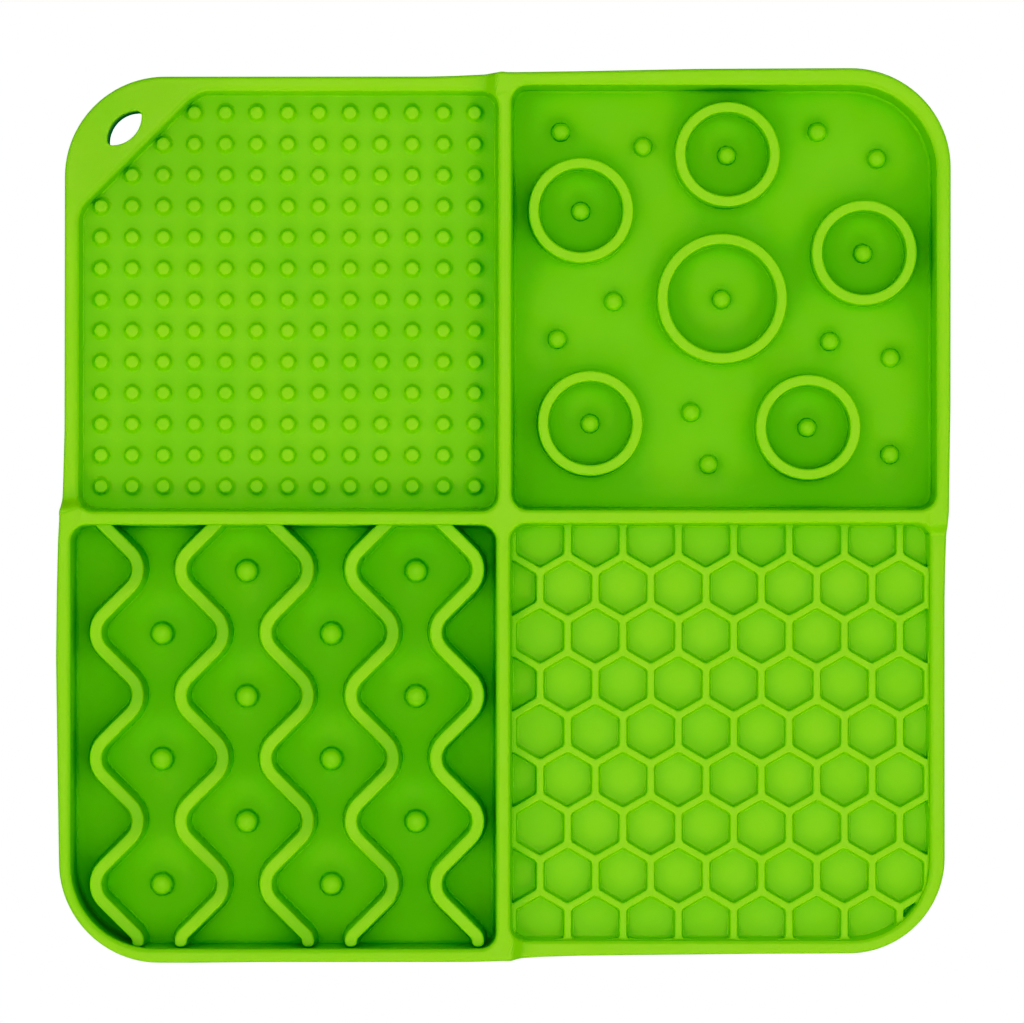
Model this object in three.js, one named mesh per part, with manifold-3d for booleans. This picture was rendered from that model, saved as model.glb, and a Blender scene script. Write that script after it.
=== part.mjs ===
// A square lick mat, moulded in one piece of soft silicone rubber and lying on its flat underside.
// Millimetres, +Z up. The origin is on the underside, below the middle of the mat.
// From above, +X is to the right and +Y is up, so the hanging hole is in the top left corner.

import * as THREE from "three";
import { mergeVertices } from "three/addons/utils/BufferGeometryUtils.js";
import Module from "manifold-3d";

const wasm = await Module();
wasm.setup();

// Heights above the underside
const DIVIDER_TOP = 10;
const LOW_RIM_TOP = 7;
const DOT_FLOOR = 4.2;
const DOT_TOP = 6.6;
const RING_FLOOR = 2.6;
const RING_TOP = 7.6;
const RING_BUMP_TOP = 4.8;
const WAVE_FLOOR = 2.2;
const WAVE_TOP = 8.6;
const WAVE_BUMP_TOP = 4.8;
const CELL_FLOOR = 4.2;
const CELL_WALL_TOP = 6.2;

// The outer edge, one row a side, counter-clockwise. Each point has its place along the side and
// its reach from the middle of the mat. A side's start and end are its reach at the two corners,
// and the radius is that of the corner after it.
const RIGHT_EDGE = [[-18, 98.7], [-2, 99.7], [4, 99.9]];
const TOP_EDGE = [[-40, 99.7], [0, 99.2], [3, 98.8], [11, 98.4]];
const LEFT_EDGE = [[-5, 98.4], [-2, 99], [0, 99.2], [28, 100]];
const BOTTOM_EDGE = [[-1, 99.9], [3, 99.6], [8, 99]];
const SIDES = [
  { points: RIGHT_EDGE, start: 98.7, end: 100, radius: 23 },
  { points: TOP_EDGE, start: 100, end: 98.4, radius: 22.5 },
  { points: LEFT_EDGE, start: 98.4, end: 99.2, radius: 22 },
  { points: BOTTOM_EDGE, start: 99.9, end: 98.1, radius: 21 },
];

// The compartments, at the level of the dividers' tops: the corners of each, counter-clockwise
const COMPARTMENTS = {
  dots: [
    { x: -95.5, y: 0.9, radius: 4 },
    { x: -1.1, y: 0.9, radius: 4 },
    { x: -1.1, y: 95.4, radius: 4 },
    { x: -68.7, y: 95.4, radius: 6.7 },
    { x: -95.5, y: 68.6, radius: 6.7 },
  ],
  rings: [
    { x: 1.7, y: 1, radius: 4 },
    { x: 97.3, y: 1, radius: 4 },
    { x: 97.3, y: 96.6, radius: 19.5 },
    { x: 1.7, y: 96.6, radius: 4 },
  ],
  waves: [
    { x: -96.9, y: -97.3, radius: 19 },
    { x: -1.2, y: -97.3, radius: 4 },
    { x: -1.2, y: -1.9, radius: 4 },
    { x: -96.9, y: -1.9, radius: 4 },
  ],
  cells: [
    { x: 1.6, y: -95.8, radius: 4 },
    { x: 95.9, y: -95.8, radius: 18 },
    { x: 95.9, y: -1.5, radius: 4 },
    { x: 1.6, y: -1.5, radius: 4 },
  ],
};
const WALL_DRAFT = 1;

// The low rims: quarter turns from the top one, the divider's edge where the ramp begins, and the
// way that the ramp runs down from it
const LOW_RIMS = [
  { name: "dots, top", turns: 0, edge: 1.1, way: -1 },
  { name: "dots, left", turns: 1, edge: 0.9, way: 1 },
  { name: "cells, bottom", turns: 2, edge: 1.6, way: -1 },
  { name: "cells, right", turns: 3, edge: 1.5, way: 1 },
];
const RAMP_LENGTH = 2.4;
const RIM_ZONE = { inner: 66, outer: 104 };

// The lens-shaped hanging hole in the solid corner tab
const HOLE = { x: -84.9, y: 86.6, length: 10.6, width: 5.6, tipRadius: 0.8 };

// Top left: rows of dots, with dots left out beside the tab in the first rows
const DOT_GRID = { rows: 13, pitch: 7, left: -90.2, top: 90.2, missing: [3, 2, 1] };
const DOT = { radius: 1.5, sides: 6 };

// Top right: rings with a bump in the middle of each, and loose bumps
const RING = { wall: 2.15, slope: 0.2, segments: 24 };
const RINGS = [
  { x: 17.5, y: 68.4, radius: 11.5 },
  { x: 50.4, y: 81, radius: 11.5 },
  { x: 81.1, y: 58.9, radius: 11.5 },
  { x: 49.2, y: 48.6, radius: 14.3 },
  { x: 19.6, y: 20.6, radius: 11.5 },
  { x: 68.5, y: 19.7, radius: 11.5 },
];
const LOOSE_BUMPS = [
  { x: 13, y: 86.3 },
  { x: 31.5, y: 83 },
  { x: 70.8, y: 86.3 },
  { x: 84.2, y: 80.3 },
  { x: 24.9, y: 48.1 },
  { x: 12.2, y: 39.6 },
  { x: 42.3, y: 23.1 },
  { x: 46.3, y: 11.4 },
  { x: 73.6, y: 39.1 },
  { x: 87.3, y: 35.4 },
  { x: 87.2, y: 13.6 },
];
const RING_BUMP = { radius: 1.85, sides: 6 };

// Bottom left: wavy ribs of slanting runs and round apexes, which mirror their neighbours
const WAVE = { ribs: 5, firstX: -86.6, spacing: 19.07, swing: 4.75, width: 2.6, radius: 5.6 };
const APEX = { firstY: 1.9, step: 14.11, count: 8, segments: 4 };
const WAVE_BUMP = { radius: 2.3, sides: 8 };
const WAVE_BUMP_SHIFT = { x: 0.25, y: -0.4 };

// Bottom right: a honeycomb of cells with a corner towards +Y, every other row set half a cell aside
const CELL = { pitch: 12.44, wall: 1.4, firstX: 8.3, firstY: -5.6, rows: 9, columns: 8 };

// How far a cutting shape runs past what it cuts, and how deep a raised shape stands in the floor
const OVERRUN = 3;
const ROOT = 0.4;
const ARC_SEGMENTS = 3;

// A closed geometry as a solid that can be joined and cut.
function solidOf(geometry) {
  geometry.deleteAttribute("normal");
  geometry.deleteAttribute("uv");
  const merged = mergeVertices(geometry);
  const vertProperties = new Float32Array(merged.attributes.position.array);
  const triVerts = new Uint32Array(merged.index.array);
  return new wasm.Manifold(new wasm.Mesh({ numProp: 3, vertProperties, triVerts }));
}

// A solid back as a geometry.
function geometryOf(solid) {
  const mesh = solid.getMesh();
  const geometry = new THREE.BufferGeometry();
  geometry.setAttribute("position", new THREE.BufferAttribute(mesh.vertProperties, 3));
  geometry.setIndex(new THREE.BufferAttribute(mesh.triVerts, 1));
  geometry.computeVertexNormals();
  return geometry;
}

// Several solids as one.
function joined(solids) {
  return solids.reduce((whole, solid) => whole.add(solid));
}

// An upright prism of an outline, from one height to another.
function prism(shape, bottom, top, curveSegments = ARC_SEGMENTS) {
  const depth = top - bottom;
  const options = { depth, bevelEnabled: false, curveSegments };
  const geometry = new THREE.ExtrudeGeometry(shape, options);
  geometry.translate(0, 0, bottom);
  return solidOf(geometry);
}

// A hollow with drafted walls, which narrows from the dividers' tops down to its floor.
function draftedHollow(shape, floor) {
  const geometry = new THREE.ExtrudeGeometry(shape, {
    depth: OVERRUN,
    bevelEnabled: true,
    bevelSize: WALL_DRAFT,
    bevelOffset: -WALL_DRAFT,
    bevelThickness: DIVIDER_TOP - floor,
    bevelSegments: 1,
    curveSegments: ARC_SEGMENTS,
  });
  geometry.translate(0, 0, DIVIDER_TOP);
  return solidOf(geometry);
}

// An upright peg with an even number of sides and a corner towards +Y.
function peg(place, bottom, top, sizes) {
  const start = Math.PI / 2;
  const shape = new THREE.Shape();
  shape.absarc(place.x, place.y, sizes.radius, start, start + 2 * Math.PI, false);
  return prism(shape, bottom, top, sizes.sides / 2);
}

// A closed outline through corner points, counter-clockwise, each corner rounded by its radius.
function roundedOutline(corners) {
  const shape = new THREE.Shape();
  corners.forEach((corner, index) => {
    const here = new THREE.Vector2(corner.x, corner.y);
    const back = new THREE.Vector2().copy(corners.at(index - 1)).sub(here).normalize();
    const ahead = new THREE.Vector2().copy(corners.at((index + 1) % corners.length)).sub(here).normalize();
    const halfAngle = Math.acos(back.dot(ahead)) / 2;
    const inward = back.clone().add(ahead).normalize();
    const center = here.clone().addScaledVector(inward, corner.radius / Math.sin(halfAngle));
    const run = corner.radius / Math.tan(halfAngle);
    const start = here.clone().addScaledVector(back, run).sub(center);
    const end = here.clone().addScaledVector(ahead, run).sub(center);
    shape.absarc(center.x, center.y, corner.radius, start.angle(), end.angle(), false);
  });
  shape.closePath();
  return shape;
}

// The mat's outer edge, side by side, with a round corner after each.
function outerOutline() {
  const shape = new THREE.Shape();
  const origin = new THREE.Vector2();
  SIDES.forEach((side, index) => {
    const turn = index * Math.PI / 2;
    const next = SIDES[(index + 1) % SIDES.length];
    side.points.forEach(([along, reach], order) => {
      const point = new THREE.Vector2(reach, along).rotateAround(origin, turn);
      if (index === 0 && order === 0) {
        shape.moveTo(point.x, point.y);
      } else {
        shape.lineTo(point.x, point.y);
      }
    });
    const center = new THREE.Vector2(side.end - side.radius, next.start - side.radius);
    center.rotateAround(origin, turn);
    shape.absarc(center.x, center.y, side.radius, turn, turn + Math.PI / 2, false);
  });
  shape.closePath();
  return shape;
}

// The material above a low rim, with the ramp beside the divider's end.
function aboveLowRim(rim) {
  const section = new THREE.Shape();
  const ceiling = DIVIDER_TOP + OVERRUN;
  section.moveTo(rim.way * rim.edge, DIVIDER_TOP);
  section.lineTo(rim.way * (rim.edge + RAMP_LENGTH), LOW_RIM_TOP);
  section.lineTo(rim.way * RIM_ZONE.outer, LOW_RIM_TOP);
  section.lineTo(rim.way * RIM_ZONE.outer, ceiling);
  section.lineTo(rim.way * rim.edge, ceiling);
  section.closePath();
  const depth = RIM_ZONE.outer - RIM_ZONE.inner;
  const geometry = new THREE.ExtrudeGeometry(section, { depth, bevelEnabled: false });
  geometry.rotateX(Math.PI / 2);
  geometry.translate(0, RIM_ZONE.outer, 0);
  geometry.rotateZ(rim.turns * Math.PI / 2);
  return solidOf(geometry);
}

// The hanging hole: two long arcs that meet in blunt tips on the slanting line.
function holeOutline() {
  const half = HOLE.length / 2 - HOLE.tipRadius;
  const bulge = HOLE.width / 2 - HOLE.tipRadius;
  const arcRadius = (half * half + bulge * bulge) / (2 * bulge);
  const spread = Math.asin(half / arcRadius);
  const radius = arcRadius + HOLE.tipRadius;
  const slant = Math.PI / 4;
  const shape = new THREE.Shape();
  for (const side of [0, Math.PI]) {
    const axis = slant - Math.PI / 2 + side;
    const along = slant + side;
    const offset = arcRadius - bulge;
    const centerX = HOLE.x - Math.cos(axis) * offset;
    const centerY = HOLE.y - Math.sin(axis) * offset;
    shape.absarc(centerX, centerY, radius, axis - spread, axis + spread, false);
    const tipX = HOLE.x + Math.cos(along) * half;
    const tipY = HOLE.y + Math.sin(along) * half;
    shape.absarc(tipX, tipY, HOLE.tipRadius, axis + spread, axis + Math.PI - spread, false);
  }
  shape.closePath();
  return shape;
}

// The dots, row by row.
function dots() {
  const solids = [];
  for (let row = 0; row < DOT_GRID.rows; row += 1) {
    const first = DOT_GRID.missing[row] ?? 0;
    for (let column = first; column < DOT_GRID.rows; column += 1) {
      const x = DOT_GRID.left + column * DOT_GRID.pitch;
      const y = DOT_GRID.top - row * DOT_GRID.pitch;
      solids.push(peg({ x, y }, DOT_FLOOR - ROOT, DOT_TOP, DOT));
    }
  }
  return joined(solids);
}

// One ring wall, a little thicker at its foot.
function ring(place) {
  const outer = place.radius;
  const inner = place.radius - RING.wall;
  const foot = RING_FLOOR - ROOT;
  const profile = [
    new THREE.Vector2(inner - RING.slope, foot),
    new THREE.Vector2(outer + RING.slope, foot),
    new THREE.Vector2(outer, RING_TOP),
    new THREE.Vector2(inner, RING_TOP),
    new THREE.Vector2(inner - RING.slope, foot),
  ];
  const geometry = new THREE.LatheGeometry(profile, RING.segments);
  geometry.rotateX(Math.PI / 2);
  geometry.translate(place.x, place.y, 0);
  return solidOf(geometry);
}

// The rings and all the bumps of their compartment.
function ringsAndBumps() {
  const foot = RING_FLOOR - ROOT;
  const bumps = [...RINGS, ...LOOSE_BUMPS].map((place) => peg(place, foot, RING_BUMP_TOP, RING_BUMP));
  return joined([...RINGS.map(ring), ...bumps]);
}

// One long side of a wavy rib, from +Y to -Y, at a distance to the right of its middle line.
function ribSide(middleX, firstWay, distance) {
  const points = [];
  for (let index = 0; index < APEX.count; index += 1) {
    const way = index % 2 === 0 ? firstWay : -firstWay;
    const centerX = middleX + way * (WAVE.swing - WAVE.radius);
    const centerY = APEX.firstY - index * APEX.step;
    const radius = WAVE.radius + way * distance;
    const first = index === 0 ? APEX.segments / 2 : 0;
    const last = index === APEX.count - 1 ? APEX.segments / 2 : APEX.segments;
    for (let step = first; step <= last; step += 1) {
      const angle = Math.PI / 4 - (step / APEX.segments) * Math.PI / 2;
      const x = centerX + way * radius * Math.cos(angle);
      const y = centerY + radius * Math.sin(angle);
      points.push(new THREE.Vector2(x, y));
    }
  }
  return points;
}

// One wavy rib. A rib whose first apex lies to the left starts with -1.
function rib(index) {
  const middleX = WAVE.firstX + index * WAVE.spacing;
  const firstWay = index % 2 === 0 ? -1 : 1;
  const right = ribSide(middleX, firstWay, WAVE.width / 2);
  const left = ribSide(middleX, firstWay, -WAVE.width / 2);
  return prism(new THREE.Shape([...right, ...left.reverse()]), WAVE_FLOOR - ROOT, WAVE_TOP);
}

// The bumps between the ribs, where the gap is wide.
function waveBumps() {
  const solids = [];
  for (let gap = 0; gap < WAVE.ribs - 1; gap += 1) {
    for (let index = 1 + (gap + 1) % 2; index < APEX.count - 1; index += 2) {
      const x = WAVE.firstX + (gap + 0.5) * WAVE.spacing + WAVE_BUMP_SHIFT.x;
      const y = APEX.firstY - index * APEX.step + WAVE_BUMP_SHIFT.y;
      solids.push(peg({ x, y }, WAVE_FLOOR - ROOT, WAVE_BUMP_TOP, WAVE_BUMP));
    }
  }
  return joined(solids);
}

// The ribs and the bumps between them.
function wavesAndBumps() {
  const ribs = Array.from({ length: WAVE.ribs }, (_, index) => rib(index));
  return joined([...ribs, waveBumps()]);
}

// The open space of the honeycomb compartment: its cells, and all that is above the cell walls.
function honeycombHollow() {
  const radius = (CELL.pitch - CELL.wall) / Math.sqrt(3);
  const rowPitch = CELL.pitch * Math.sqrt(3) / 2;
  const sizes = { radius, sides: 6 };
  const spaces = [prism(roundedOutline(COMPARTMENTS.cells), CELL_WALL_TOP, DIVIDER_TOP + OVERRUN)];
  for (let row = 0; row < CELL.rows; row += 1) {
    const firstX = CELL.firstX - (row % 2) * CELL.pitch / 2;
    for (let column = 0; column < CELL.columns; column += 1) {
      const place = { x: firstX + column * CELL.pitch, y: CELL.firstY - row * rowPitch };
      spaces.push(peg(place, CELL_FLOOR - ROOT, DIVIDER_TOP, sizes));
    }
  }
  return joined(spaces).intersect(draftedHollow(roundedOutline(COMPARTMENTS.cells), CELL_FLOOR));
}

// The whole mat: the blank is cut down and hollowed out, then the raised shapes are joined to it.
function matSolid() {
  const blank = prism(outerOutline(), 0, DIVIDER_TOP);
  const cuts = joined([
    ...LOW_RIMS.map(aboveLowRim),
    draftedHollow(roundedOutline(COMPARTMENTS.dots), DOT_FLOOR),
    draftedHollow(roundedOutline(COMPARTMENTS.rings), RING_FLOOR),
    draftedHollow(roundedOutline(COMPARTMENTS.waves), WAVE_FLOOR),
    honeycombHollow(),
    prism(holeOutline(), -OVERRUN, DIVIDER_TOP + OVERRUN),
  ]);
  return blank.subtract(cuts).add(joined([dots(), ringsAndBumps(), wavesAndBumps()]));
}

const silicone = new THREE.MeshStandardMaterial({ color: 0x7fcf1c, roughness: 0.55, metalness: 0 });
const mat = new THREE.Mesh(geometryOf(matSolid()), silicone);
mat.name = "mat";

const lickMat = new THREE.Group();
lickMat.name = "lick_mat";
lickMat.add(mat);

export default lickMat;
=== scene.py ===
"""A square silicone lick mat with four patterned fields, on a white table, seen from above.

The whole mat is one closed skin. Each field is a hollow that sinks from the level of the rim, its
raised shapes stand on the hollow's floor, and the rim, the tab and the underside close the rest.
Sizes are in millimetres until the finished skin is scaled to metres.
"""

import logging
import math
from collections.abc import Iterable
from dataclasses import dataclass, field
from enum import Enum

import bmesh
import bpy
from bmesh.types import BMEdge, BMesh, BMFace, BMVert
from mathutils import Matrix, Vector


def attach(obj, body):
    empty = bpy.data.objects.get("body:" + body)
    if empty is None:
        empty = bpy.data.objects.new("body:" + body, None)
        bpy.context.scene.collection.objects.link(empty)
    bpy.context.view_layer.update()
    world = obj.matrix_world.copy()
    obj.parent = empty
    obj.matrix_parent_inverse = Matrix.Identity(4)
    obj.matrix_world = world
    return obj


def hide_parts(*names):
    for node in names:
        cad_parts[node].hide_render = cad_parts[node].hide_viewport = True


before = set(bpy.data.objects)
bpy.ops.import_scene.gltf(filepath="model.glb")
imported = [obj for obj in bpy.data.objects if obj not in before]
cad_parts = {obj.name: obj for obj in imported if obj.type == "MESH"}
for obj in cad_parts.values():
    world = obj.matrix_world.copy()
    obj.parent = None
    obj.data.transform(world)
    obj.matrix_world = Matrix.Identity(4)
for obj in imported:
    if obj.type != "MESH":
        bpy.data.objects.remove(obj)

log = logging.getLogger("lick_mat")

Colour = tuple[float, float, float, float]
Pair = tuple[float, float]
Triple = tuple[float, float, float]
Curve = tuple[Pair, ...]
Places = Iterable[Pair]
Socket = bpy.types.NodeSocket
Feed = Socket | float | Colour

MILLIMETRE = 0.001
# The vertex attribute for painted shade on the wavy ribs, and for the darkening around the hole.
SHADE_AND_DARKENING = "shade_and_darkening"
# How near two places are that count as one, and how near a cut a vertex is that lies on it.
NEAR = 1e-3
CUT_NEAR = 1e-4
# How far raised shapes go below their floor, so that no two faces share a plane.
SINK = 0.01
# The most corners of a face, and the least divisor.
MOST_CORNERS = 4
LEAST = 1e-6
WHITE = (1.0, 1.0, 1.0, 1.0)
BLACK = (0.0, 0.0, 0.0, 1.0)


def clamped(value: float) -> float:
    """Limits a number to the range from 0 to 1."""
    return min(max(value, 0.0), 1.0)


def eased(share: float) -> float:
    """Softens both ends of a rise from 0 to 1."""
    return share * share * (3 - 2 * share)


class Way(Enum):
    """Whether a profile climbs to a crown or sinks to a floor."""

    UP = 1
    DOWN = -1


@dataclass
class Profile:
    """The section of a wall, as rings that each go inwards and up or down."""

    steps: list[Pair] = field(default_factory=list)

    def quarter(self, across: float, rise: float, segments: int, ends_steep: bool) -> "Profile":
        """Adds a quarter round.

        Args:
            across: How far the round goes inwards.
            rise: How far it goes up or down.
            segments: The number of its rings.
            ends_steep: Whether it starts level and ends steep, or the other way.

        Returns:
            The same profile.
        """
        for place in range(segments):
            a, b = (math.pi / 2 * (place + end) / segments for end in (0, 1))
            early, late = math.sin(b) - math.sin(a), math.cos(a) - math.cos(b)
            in_share, up_share = (early, late) if ends_steep else (late, early)
            self.steps.append((across * in_share, rise * up_share))
        return self

    def turn_steep(self, across: float, rise: float, segments: int = 4) -> "Profile":
        """Adds a quarter round that starts level and ends steep."""
        return self.quarter(across, rise, segments, True)

    def turn_level(self, across: float, rise: float, segments: int = 4) -> "Profile":
        """Adds a quarter round that starts steep and ends level."""
        return self.quarter(across, rise, segments, False)

    def slant(self, across: float, rise: float) -> "Profile":
        """Adds one straight ring, and returns the same profile."""
        self.steps.append((across, rise))
        return self

    @property
    def across(self) -> float:
        """How far the whole profile goes inwards."""
        return sum(step[0] for step in self.steps)

    def apply(self, bm: BMesh, faces: list[BMFace], way: Way) -> None:
        """Shapes level faces into a raised or a sunk form, ring by ring.

        Args:
            bm: Their mesh.
            faces: Level faces. They end up as the form's top or floor.
            way: Whether the form climbs or sinks.
        """
        for across, rise in self.steps:
            bmesh.ops.inset_region(
                bm, faces=faces, use_boundary=True, use_even_offset=True, thickness=across
            )
            inner = list(dict.fromkeys(vert for face in faces for vert in face.verts))
            bmesh.ops.translate(bm, vec=(0.0, 0.0, way.value * rise), verts=inner)


def face_outwards(bm: BMesh) -> None:
    """Turns all faces outwards."""
    bmesh.ops.recalc_face_normals(bm, faces=list(bm.faces))


def open_edges(bm: BMesh, height: float) -> list[BMEdge]:
    """The edges at a height that have only one face."""
    return [
        edge
        for edge in bm.edges
        if edge.is_boundary and all(abs(vert.co.z - height) < NEAR for vert in edge.verts)
    ]


def close_at(bm: BMesh, start: float, end: float) -> None:
    """Draws the open outlines at one height to another and closes each with a flat face there.

    Args:
        bm: The mesh.
        start: The height of the open outlines.
        end: The height of the flat faces.
    """
    made = bmesh.ops.extrude_edge_only(bm, edges=open_edges(bm, start))["geom"]
    moved = [item for item in made if isinstance(item, BMVert)]
    bmesh.ops.translate(bm, vec=(0.0, 0.0, end - start), verts=moved)
    bmesh.ops.edgeloop_fill(bm, edges=open_edges(bm, end))
    face_outwards(bm)


def raise_forms(bm: BMesh, feet: list[BMFace], profile: Profile, root: float = 1.0) -> None:
    """Turns level feet into closed forms that stand on a root below them.

    Args:
        bm: Their mesh.
        feet: Level faces that touch nothing else. They end up as the forms' crowns.
        profile: The section of the forms' walls.
        root: How far the forms go on below their feet.
    """
    made = bmesh.ops.extrude_face_region(bm, geom=feet)["geom"]
    base = [item for item in made if isinstance(item, BMVert)]
    bmesh.ops.translate(bm, vec=(0.0, 0.0, -root), verts=base)
    profile.apply(bm, feet, Way.UP)
    face_outwards(bm)


def round_corner(bm: BMesh, corner: BMVert, run: float, segments: int) -> BMFace:
    """Rounds one corner of a level face.

    Args:
        bm: Its mesh.
        corner: The vertex at the corner.
        run: How far from the corner the round begins.
        segments: The number of its edges.

    Returns:
        The face with the round corner, which takes the first one's place.
    """
    kind = {"offset_type": "OFFSET", "affect": "VERTICES", "profile": 0.5, "material": -1}
    made = bmesh.ops.bevel(
        bm, geom=[corner], offset=run, segments=segments, clamp_overlap=False, **kind
    )
    return made["verts"][0].link_faces[0]


def level_face(bm: BMesh, points: Places, height: float) -> BMFace:
    """A level face through a few points, in counter-clockwise order."""
    return bm.faces.new([bm.verts.new((x, y, height)) for x, y in points])


def cut_long_edges(bm: BMesh, face: BMFace, spacing: float) -> None:
    """Divides a face's long edges.

    Args:
        bm: Its mesh.
        face: The face.
        spacing: The length that no edge is much longer than.
    """
    for edge in list(face.edges):
        cuts = int(edge.calc_length() / spacing)
        if cuts:
            bmesh.ops.subdivide_edges(bm, edges=[edge], cuts=cuts)


def grow(bm: BMesh, face: BMFace, margin: float) -> None:
    """Widens a level face all round.

    Args:
        bm: Its mesh.
        face: The face.
        margin: How far its outline moves outwards.
    """
    ring = bmesh.ops.inset_region(
        bm, faces=[face], use_boundary=True, use_even_offset=True, thickness=-margin
    )
    bmesh.ops.delete(bm, geom=ring["faces"], context="FACES")


def discs(bm: BMesh, places: Places, height: float, radius: float, sides: int) -> list[BMFace]:
    """Level round faces, one at each place.

    Args:
        bm: Their mesh.
        places: The middle of each.
        height: Their level.
        radius: Their radius.
        sides: The number of edges of each.

    Returns:
        The faces.
    """
    made = []
    for x, y in places:
        matrix = Matrix.Translation((x, y, height))
        disc = bmesh.ops.create_circle(
            bm, cap_ends=True, radius=radius, segments=sides, matrix=matrix
        )
        made.append(disc["verts"][0].link_faces[0])
    return made


def show(name: str, bm: BMesh) -> bpy.types.Object:
    """Turns a form into an object in the scene.

    Args:
        name: The object's name.
        bm: The form. It is used up.

    Returns:
        The object.
    """
    mesh = bpy.data.meshes.new(name)
    bm.to_mesh(mesh)
    bm.free()
    made = bpy.data.objects.new(name, mesh)
    bpy.context.scene.collection.objects.link(made)
    return made


def cut_away(kept: BMesh, tools: list[BMesh]) -> BMesh:
    """Cuts closed forms out of another one.

    Args:
        kept: The form that is cut. It is used up.
        tools: The forms that are cut out of it. They don't touch each other, and are used up.

    Returns:
        What is left.
    """
    carrier = bpy.data.meshes.new("carrier")
    tools_form = bmesh.new()
    for tool in tools:
        tool.to_mesh(carrier)
        tools_form.from_mesh(carrier)
        tool.free()
    holder, cutter = show("kept", kept), show("cutter", tools_form)
    modifier = holder.modifiers.new("cut", "BOOLEAN")
    modifier.operation = "DIFFERENCE"
    modifier.solver = "EXACT"
    modifier.object = cutter
    finished = holder.evaluated_get(bpy.context.evaluated_depsgraph_get())
    result = bpy.data.meshes.new_from_object(finished)
    left = bmesh.new()
    left.from_mesh(result)
    for mesh in (holder.data, cutter.data, carrier, result):
        bpy.data.meshes.remove(mesh)
    return left


@dataclass(frozen=True)
class Corner:
    """A corner of an outline, with the radius of its round and its number of edges."""

    x: float
    y: float
    radius: float
    segments: int = 8


@dataclass(frozen=True)
class Hollow:
    """The bare hollow of one field: a rounded edge, a wall with draft and a filleted floor.

    Beside the outer rim the edge's round is wider, by a spread that grows with the distance from
    the dividers.
    """

    corners: tuple[Corner, ...]
    floor: float
    top: float = 10.0
    edge_round: float = 0.9
    edge_share: float = 0.35
    draft: float = 0.5
    fillet: float = 0.8
    fillet_rings: int = 5
    spacing: float = 6.0
    lid: float = 12.0
    rim_spread: float = 0.8
    rim_near: float = 3.0
    rim_far: float = 12.0

    def soften_rim(self, bm: BMesh) -> None:
        """Widens the edge's round beside the outer rim.

        Args:
            bm: The mesh of the hollow's space.
        """
        for vert in bm.verts:
            depth = clamped((self.top - vert.co.z) / self.edge_round)
            if depth == 1.0:
                continue
            away = min(abs(vert.co.x), abs(vert.co.y))
            share = clamped((away - self.rim_near) / (self.rim_far - self.rim_near))
            out = Vector((vert.normal.x, vert.normal.y, 0.0)).normalized()
            reach = 1.0 - math.sin(math.acos(1.0 - depth))
            vert.co += out * (self.rim_spread * share * reach)

    def space(self, extra: float = 0.0) -> BMesh:
        """The hollow's space as a closed form, which goes on above the level of the rim.

        Args:
            extra: How far below its own floor it goes.

        Returns:
            The closed form.
        """
        bm = bmesh.new()
        places = [Vector((corner.x, corner.y)) for corner in self.corners]
        face = level_face(bm, places, self.top)
        for index, (vert, corner) in enumerate(zip(list(face.verts), self.corners)):
            ahead = places[(index + 1) % len(places)] - places[index]
            back = places[index - 1] - places[index]
            run = corner.radius / math.tan(ahead.angle(back) / 2)
            face = round_corner(bm, vert, run, corner.segments)
        cut_long_edges(bm, face, self.spacing)
        grow(bm, face, self.edge_round * (1 - self.edge_share))
        profile = Profile().turn_steep(self.edge_round, self.edge_round)
        profile.slant(self.draft, self.top - self.floor + extra - self.edge_round - self.fillet)
        profile.turn_level(self.fillet, self.fillet, self.fillet_rings)
        profile.apply(bm, [face], Way.DOWN)
        close_at(bm, self.top, self.lid)
        bm.normal_update()
        self.soften_rim(bm)
        return bm


@dataclass(frozen=True)
class Field:
    """One field of the mat: raised shapes that stand in a hollow."""

    hollow: Hollow
    extra: float = 0.0

    def forms(self) -> list[BMesh]:
        """The raised shapes as closed forms, from below the floor up."""
        raise NotImplementedError

    def space(self) -> BMesh:
        """The hollow's space without the raised shapes, as a closed form."""
        return cut_away(self.hollow.space(self.extra), self.forms())


@dataclass(frozen=True)
class Bump:
    """A round bump with a fillet at its foot, a short wall and a domed crown."""

    radius: float
    rise: float
    fillet: float
    draft: float
    dome: Pair
    sides: int
    fillet_rings: int = 3
    dome_rings: int = 5

    def forms(self, places: Places, floor: float) -> BMesh:
        """Makes a few of the bumps.

        Args:
            places: The middle of each.
            floor: The level of the floor that they stand on.

        Returns:
            Their closed forms, in one mesh.
        """
        across, rise = self.dome
        profile = Profile().turn_steep(self.fillet, self.fillet, self.fillet_rings)
        profile.slant(self.draft, self.rise + SINK - self.fillet - rise)
        profile.turn_level(across, rise, self.dome_rings)
        bm = bmesh.new()
        feet = discs(bm, places, floor - SINK, self.radius + self.fillet, self.sides)
        raise_forms(bm, feet, profile)
        return bm


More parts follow.
